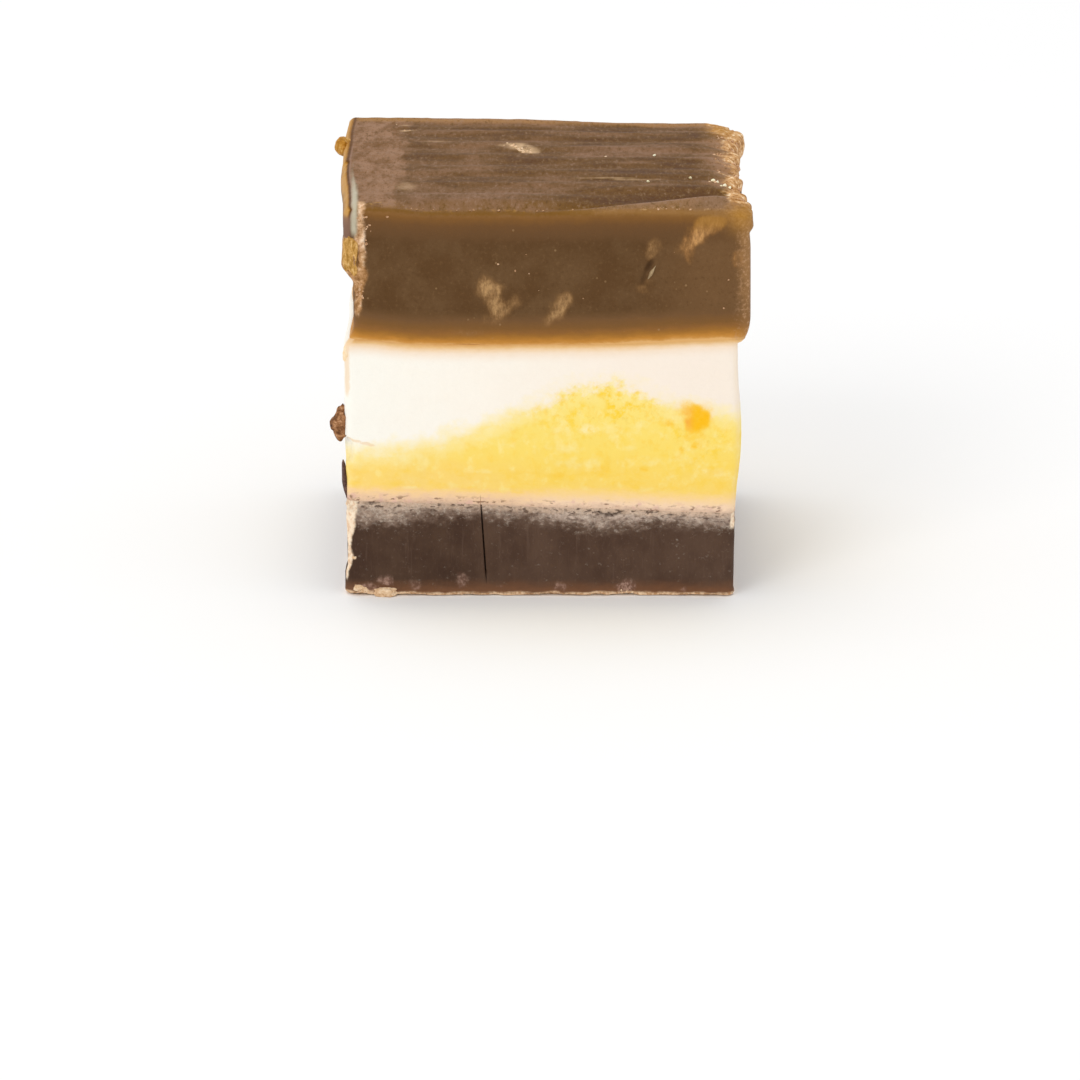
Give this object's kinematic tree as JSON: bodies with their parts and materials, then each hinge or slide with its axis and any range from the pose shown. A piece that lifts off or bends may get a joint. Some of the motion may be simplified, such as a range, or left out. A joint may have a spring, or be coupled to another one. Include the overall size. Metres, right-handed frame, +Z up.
{
  "type": "fudge cube",
  "caption": "Hand-cut cube of layered fudge: dark base, yellow and white swirled middle, overhanging milk chocolate top.",
  "frame": {"origin": "on the resting plane under the middle of the cube's bounding box", "axes": "+Z up through the layers, -Y towards the cleanly cut front face, +X to the right as seen from the front"},
  "size_m": [0.0369, 0.0322, 0.0365],
  "materials": {
    "milk_chocolate": "satin",
    "white_fudge": "matte",
    "yellow_fudge": "matte",
    "dark_chocolate": "matte"
  },
  "bodies": {
    "root": {"dark_chocolate_layer": "dark_chocolate", "yellow_fudge_layer": "yellow_fudge", "white_fudge_layer": "white_fudge", "milk_chocolate_layer": "milk_chocolate"}
  },
  "joints": []
}
